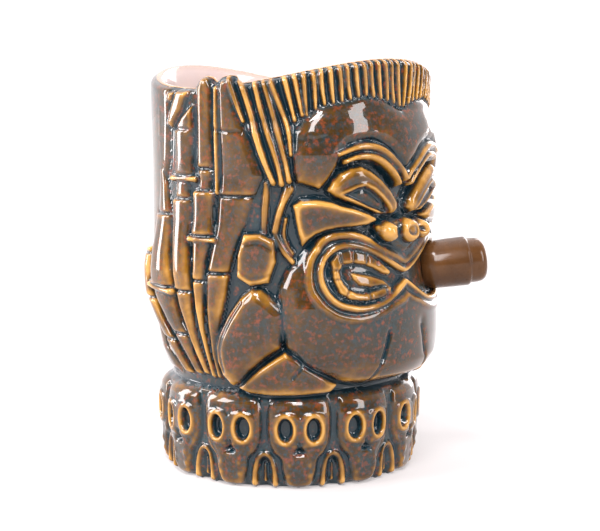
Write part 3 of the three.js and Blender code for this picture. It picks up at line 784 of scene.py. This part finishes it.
def glaze(name, warmth, specks):
    """Treacle-coloured glaze: gold where it runs thin on edges, teal-black where it pools.

    Warmth moves the whole glaze towards gold, and specks adds to the share of teal ones.
    """
    nodes = new_material(name)
    thin = nodes.number("thin")
    drift = nodes.maths("MULTIPLY", nodes.maths("SUBTRACT", nodes.noise(48, 4), 0.5), 0.5)
    streak = nodes.maths("MULTIPLY", nodes.maths("SUBTRACT", nodes.noise(300, 3), 0.5), 0.24)
    level = nodes.maths("ADD", nodes.maths("ADD", thin, warmth), nodes.maths("ADD", drift, streak))
    body = nodes.ramp(level, [(0.12, CREVICE), (0.32, DEEP), (0.48, OLIVE), (0.61, UMBER),
            (0.79, AMBER), (0.97, GOLD)])
    flat = nodes.ramp(thin, [(0.12, grey(0)), (0.28, grey(1)), (0.57, grey(1)), (0.74, grey(0))])
    rust = nodes.ramp(nodes.noise(470, 3, 0.6), [(0.52, grey(0)), (0.72, grey(1))])
    rust_share = nodes.maths("MULTIPLY", nodes.maths("MULTIPLY", rust, flat), 0.8)
    teal = nodes.ramp(nodes.noise(560, 5, 0.75), [(0.47, grey(0)), (0.62, grey(1))])
    teal_share = nodes.maths("MULTIPLY", nodes.maths("MULTIPLY", teal, flat), 0.5 + specks)
    colour = nodes.mix(teal_share, body, (*TEAL, 1))
    colour = nodes.mix(rust_share, colour, (*RUST, 1))
    # Painted highlight: a pale band mixed in on the inside wall below the rim, where light catches the
    # glaze.
    colour = nodes.mix(nodes.number("lining"), colour, (*PAINTED_HIGHLIGHT_COLOUR, 1))
    nodes.link(colour, "Base Color")
    rough = nodes.ramp(nodes.noise(150, 3), [(0.3, grey(0.16)), (0.7, grey(0.26))])
    nodes.link(rough, "Roughness")
    nodes.bump(nodes.noise(120, 2), 0.00025, 0.5)
    nodes.fix(Coat_Weight=1.0, Coat_Roughness=0.03, Coat_IOR=1.46, Specular_IOR_Level=0.1)
    return nodes.made


def cigar_glaze():
    """Plain warm brown glaze, a little paler in faint bands."""
    nodes = new_material("cigar_glaze")
    tone = nodes.ramp(nodes.noise(90, 4), [(0.3, CIGAR_DARK), (0.7, CIGAR_PALE)])
    nodes.link(tone, "Base Color")
    rough = nodes.ramp(nodes.noise(260, 3), [(0.3, grey(0.22)), (0.7, grey(0.34))])
    nodes.link(rough, "Roughness")
    nodes.bump(nodes.noise(300, 3), 0.0002, 0.4)
    nodes.fix(Coat_Weight=0.6, Coat_Roughness=0.08, Coat_IOR=1.4, Specular_IOR_Level=0.1)
    return nodes.made


# ---- building the pieces

def both_sides(name):
    """The names of a piece on the right and on the left of the mug."""
    if name.endswith("_right"):
        return name, name[:-5] + "left"
    if name.startswith("skull_"):
        number = int(name[-2:])
        return name, f"skull_{2 * SKULLS_A_SIDE + 1 - number:02d}"
    return name, name


def lip_drop(sheet_rise):
    """How far the outside draws in over the rounded lip, in mm."""
    over = np.clip(1 - (1 - sheet_rise) * RIM_MIDDLE / LIP, 0, 1)
    return LIP * (1 - np.sqrt(1 - over ** 2 * 0.98))


def thin_glaze(radius):
    """0 where glaze pools in crevices, 1 where it runs thin over edges, 0.5 on flats."""
    fine = radius - blurred(radius, 1.0)
    broad = radius - blurred(radius, 2.6)
    return np.clip(0.455 + 0.50 * fine + 0.16 * broad, 0, 1)


def build_relief():
    """Every piece of the outside, and the cup inside it."""
    right, left = sculpt(True), sculpt(False)
    names = right.names
    radius = mirrored_sheet(right.radius, left.radius)
    thin = mirrored_sheet(thin_glaze(right.radius), thin_glaze(left.radius))
    turns = mirrored_sheet(half_turns[None, :], -half_turns[None, :])[0]
    heights = mirrored_sheet(HEIGHT, HEIGHT)
    radius = radius - lip_drop(rise)[:, None]
    outside = on_wall(turns[None, :], heights, radius)
    depth = DEPTH * (heights[-1] - heights) / (heights[-1] - FLOOR)
    behind = np.maximum(BACK_RADIUS, bore(even_lip(radius), depth) + 1.2)
    inside = on_wall(turns[None, :], heights, np.minimum(behind, radius - 0.3))
    normals = sheet_normals(outside)
    half = column_count
    left_owner = np.array([names.index(name) for name in left.names])[left.owner]
    owner = np.concatenate([left_owner[:-1, :-1][:, ::-1], right.owner[:-1, :-1]], axis=1)
    side = np.concatenate([np.ones(half, int), np.zeros(half, int)])
    pieces = {}
    for index, name in enumerate(names):
        for which, piece in enumerate(both_sides(name)):
            mask = (owner == index) & (side == which)[None, :]
            if mask.any():
                pieces[piece] = pieces.get(piece, False) | mask
    shell = pieces.pop("cup_shell")
    for piece, mask in pieces.items():
        points, faces, used = cut_from_sheet(outside, inside, mask)
        thing = make_mesh(piece + "_glazed", points, faces)
        outward = np.tile(normals.reshape(-1, 3), (2, 1))[used]
        thing.data.normals_split_custom_set_from_vertices(outward)
        add_number(thing, "thin", np.tile(thin.ravel(), 2)[used])
        finish_piece(thing, piece)
    build_cup(shell, radius, behind, turns, heights, thin)


def even_lip(radius):
    """The lip's radius all round, evened out so that no strand of hair shows inside."""
    spread = int(10 / STEP)
    lip = radius[-1]
    wrapped = np.concatenate([lip[-spread:], lip, lip[:spread]])
    return np.convolve(wrapped, np.ones(2 * spread + 1) / (2 * spread + 1), mode="valid")


def bore(lip, depth):
    """The radius of the inside at a depth below the rim: it flares up to the lip."""
    flare = np.clip(1 - 2.2 * depth / DEPTH, 0, 1)
    return BORE + (lip - LIP - 0.8 - BORE) * flare ** 1.3


def cup_inside(lip_outer, even_rim, rim):
    """Rows of radii and heights that run over the lip, down the inside and across its floor."""
    radii, levels = [], []
    for share in np.linspace(0.2, 1, LIP_ROWS):
        angle = math.pi * share
        crest = lip_outer * (1 - share) + even_rim * share - LIP * 0.5
        radii.append(crest + LIP * 0.5 * math.cos(angle))
        levels.append(rim + 0.5 * math.sin(angle))
    for depth in (2, 5, 10, 18, 28, 40, 54, 70, 90, 110, 130, 139, 143, 145, DEPTH):
        corner = np.clip((depth - (DEPTH - CORNER)) / CORNER, 0, 1)
        radii.append(bore(even_rim, depth) - CORNER * (1 - np.sqrt(1 - corner ** 2 * 0.999)))
        levels.append(rim + (FLOOR - rim) * depth / DEPTH)
    for share in (0.66, 0.33, 0.02):
        radii.append(np.full_like(rim, (BORE - CORNER) * share))
        levels.append(np.full_like(rim, FLOOR))
    return radii, levels


def build_cup(shell, radius, behind, turns, heights, thin):
    """The cup: its wall shows between the pieces, and runs over the lip and down inside."""
    bare = np.zeros(radius.shape, bool)
    for rows in (slice(0, -1), slice(1, None)):
        bare[rows] |= shell | np.roll(shell, 1, axis=1)
    wall = np.where(bare, radius, np.minimum(behind - 0.2, radius - 0.5))
    wall[-1] = radius[-1]
    rim = heights[-1]
    inner_rows, inner_heights = cup_inside(radius[-1], even_lip(radius), rim)
    under_rows = [np.full_like(rim, reach) for reach, height in FOOT_RECESS]
    under_heights = [np.full_like(rim, height) for reach, height in FOOT_RECESS]
    all_radii = np.vstack([np.array(under_rows), wall[1:], np.array(inner_rows)])
    all_heights = np.vstack([np.array(under_heights), heights[1:], np.array(inner_heights)])
    points = on_wall(turns[None, :], all_heights, all_radii)
    rows, columns = all_radii.shape
    thing = make_mesh("cup_shell_glazed", points.reshape(-1, 3), ring_faces(rows, columns))
    lower, upper = len(under_rows), len(inner_rows)
    # Glaze tone inside the cup: gold where the glaze runs thin over the lip, plus a painted highlight
    # that lightens the inside wall just below the rim.
    lip_tone_and_highlight = [0.85] * LIP_ROWS + [0.85, 0.85, 0.8, 0.7, 0.6]
    lip_tone_and_highlight = np.array(lip_tone_and_highlight + [0.55] * (upper - len(lip_tone_and_highlight)))
    tone = np.vstack([np.full((lower, columns), 0.5), thin[1:], np.tile(lip_tone_and_highlight[:, None], (1, columns))])
    add_number(thing, "thin", tone.ravel())
    # Share of painted highlight on each inside row: strongest just below the rim, fading deeper down.
    lip_painted_highlight = [*np.linspace(0.1, 0.6, LIP_ROWS), 0.85, 0.85, 0.75, 0.55, 0.4]
    lip_painted_highlight = np.array(lip_painted_highlight + [0.3] * (upper - len(lip_painted_highlight)))
    bare_rows = np.zeros(lower + wall.shape[0] - 1)
    lining = np.repeat(np.concatenate([bare_rows, lip_painted_highlight]), columns)
    add_number(thing, "lining", lining)
    finish_piece(thing, "cup_shell")


SLOT_OF = {
    "cup_shell": "cup_glaze", "back": "cup_glaze", "base": "base_glaze", "skull": "skull_glaze",
    "hair": "hair_glaze", "upper": "mouth_glaze", "lower": "mouth_glaze", "tongue": "mouth_glaze",
    "arm": "limb_glaze", "knee": "limb_glaze", "foot": "limb_glaze", "thumb": "bone_glaze",
    "index": "bone_glaze", "middle": "bone_glaze", "ring": "bone_glaze", "little": "bone_glaze",
}
# Warmth and specks of each glaze.
GLAZES = {
    "cup_glaze": (0.0, 0.0), "base_glaze": (-0.05, 0.3), "skull_glaze": (-0.03, 0.3),
    "hair_glaze": (0.02, 0.0), "face_glaze": (-0.02, 0.0), "mouth_glaze": (0.03, 0.0),
    "limb_glaze": (0.02, 0.0), "bone_glaze": (0.05, 0.0),
}
finishes = {name: glaze(name, *looks) for name, looks in GLAZES.items()}


def finish_piece(thing, node):
    """Gives a piece its glaze, and ties it to the CAD node that it stands for."""
    slot = SLOT_OF.get(node, SLOT_OF.get(node.split("_")[0], "face_glaze"))
    thing.data.materials.append(finishes[slot])
    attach(thing, "root")
    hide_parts(node)


def build_cigar():
    """The cigar: a turned blank with a stepped tip, cemented into the left-hand ring."""
    length, radius, sides = 27.0, 9.8, 72
    turn, lift = math.radians(-46), math.radians(6)
    root_turn, root_radius, root_height = math.radians(-26), 53, 80.5
    root = np.array([-root_radius * math.sin(root_turn), -root_radius * math.cos(root_turn), root_height])
    axis = np.array([-math.sin(turn) * math.cos(lift), -math.cos(turn) * math.cos(lift), math.sin(lift)])
    side = np.cross(axis, (0, 0, 1.0))
    side = side / np.linalg.norm(side)
    up = np.cross(side, axis)
    outline = [(0, 0.02), (0, 9.3), (6, 9.55), (12, 9.75), (18, radius), (19.0, 9.78), (19.5, 9.5),
               (19.7, 9.1), (20.2, 8.95), (23, 8.85), (24.6, 8.6), (25.8, 7.9), (26.5, 6.8),
               (26.9, 5.2), (length, 3), (length, 0.02)]
    angles = np.linspace(0, 2 * np.pi, sides, endpoint=False)
    rings = []
    for along, reach in outline:
        wobble = reach * (1 + 0.006 * np.sin(3 * angles + along * 0.2))
        ring = root + axis * along
        ring = ring + wobble[:, None] * (np.cos(angles)[:, None] * side + np.sin(angles)[:, None] * up)
        rings.append(ring)
    points = np.array(rings) * MM
    turned_about = [0, 3, 2, 1]
    faces = ring_faces(len(outline), sides)[:, turned_about]
    thing = make_mesh("cigar_glazed", points.reshape(-1, 3), faces)
    thing.data.materials.append(cigar_glaze())
    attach(thing, "root")
    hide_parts("cigar")


# ---- floor, lights and camera

def build_stage():
    """A wide floor, grey round the mug and glowing white farther out."""
    floor_size = 30
    bpy.ops.mesh.primitive_plane_add(size=floor_size)
    floor = bpy.context.object
    floor.name = "floor"
    paint = new_material("floor_paint")
    reach = paint.add("ShaderNodeVectorMath", {0: paint.place()}, operation="LENGTH").outputs["Value"]
    reach = paint.maths("MULTIPLY", reach, 0.25)
    glow = paint.ramp(reach, [(0.1, (0.38, 0.35, 0.35)), (0.6, (1, 0.98, 0.98))])
    paint.link(glow, "Emission Color")
    paint.fix(Base_Color=(*grey(0.32), 1), Roughness=0.8, Emission_Strength=1.0)
    floor.data.materials.append(paint.made)


def add_softbox(name, place, aim, size, power):
    """A rectangular softbox aimed at a point."""
    light = bpy.data.lights.new(name, "AREA")
    light.shape = "RECTANGLE"
    light.size, light.size_y = size
    light.energy = power
    light.color = (1, 0.95, 0.95)
    lamp = bpy.data.objects.new(name, light)
    lamp.location = place
    lamp.rotation_euler = (Vector(aim) - Vector(place)).to_track_quat("-Z", "Y").to_euler()
    lamp.visible_camera = False
    bpy.context.scene.collection.objects.link(lamp)


def build_lights():
    """Softboxes round a dim room: the floor and the far side stay bright, the near side dark."""
    middle = (0, 0, 0.09)
    softboxes = (
        ("top", (0.3, 0.5, 2.0), (0.1, 0.1, 0), (2.4, 2.4), 16),
        ("key", (-0.85, -0.55, 1.7), middle, (0.5, 0.5), 26),
        ("left", (-0.75, 1.45, 0.5), middle, (0.5, 1.4), 30),
        ("side", (-1.2, 0.62, 0.78), middle, (0.6, 0.8), 26),
        ("right", (1.5, 0.3, 0.5), middle, (0.7, 1.3), 9),
        ("front", (0.2, -1.45, 0.63), middle, (0.34, 1.2), 14),
        ("window", (-0.95, -1.0, 1.15), middle, (0.4, 0.9), 22),
    )
    for name, place, aim, size, power in softboxes:
        add_softbox(name + "_softbox", place, aim, size, power)


def build_world():
    """A white far side and a dark near side, with a white patch low down to the mug's right."""
    nodes = Nodes("studio", bpy.data.worlds, "Background")
    direction = nodes.add("ShaderNodeTexCoord").outputs["Generated"]

    def facing(axis, dark, bright):
        """Fades from 0 to 1 as the direction's part along the axis goes from dark to bright."""
        dot = nodes.add("ShaderNodeVectorMath", {0: direction, 1: axis}, operation="DOT_PRODUCT")
        limits = {"Value": dot.outputs["Value"], "From Min": dark, "From Max": bright}
        return nodes.add("ShaderNodeMapRange", limits).outputs["Result"]

    far_side = facing((0.75, 0.66, 0), -0.34, 0.28)
    low = facing((0, 0, 1), 0.26, 0.17)
    right_side = facing((-0.995, 0.1, 0), 0.80, 0.93)
    share = nodes.maths("MAXIMUM", far_side, nodes.maths("MULTIPLY", low, right_side))
    nodes.link(nodes.ramp(share, [(0, (0.05, 0.05, 0.055)), (1, (1, 0.96, 0.98))]), "Color")
    nodes.fix(Strength=1.15)
    bpy.context.scene.world = nodes.made
    bpy.context.scene.view_settings.view_transform = "Standard"


def build_camera():
    """The camera stands to the right of the face (-X), a little below the rim."""
    place = (-0.3986, -0.3465, 0.1408)
    tilt, heading = 83.35, -49.45
    lens = bpy.data.cameras.new("camera")
    lens.sensor_width = 36
    lens.lens = 78
    camera = bpy.data.objects.new("camera", lens)
    camera.location = place
    camera.rotation_euler = (math.radians(tilt), 0, math.radians(heading))
    bpy.context.scene.collection.objects.link(camera)
    bpy.context.scene.camera = camera


build_camera()
build_stage()
build_lights()
build_world()
build_relief()
build_cigar()

bpy.context.view_layer.update()
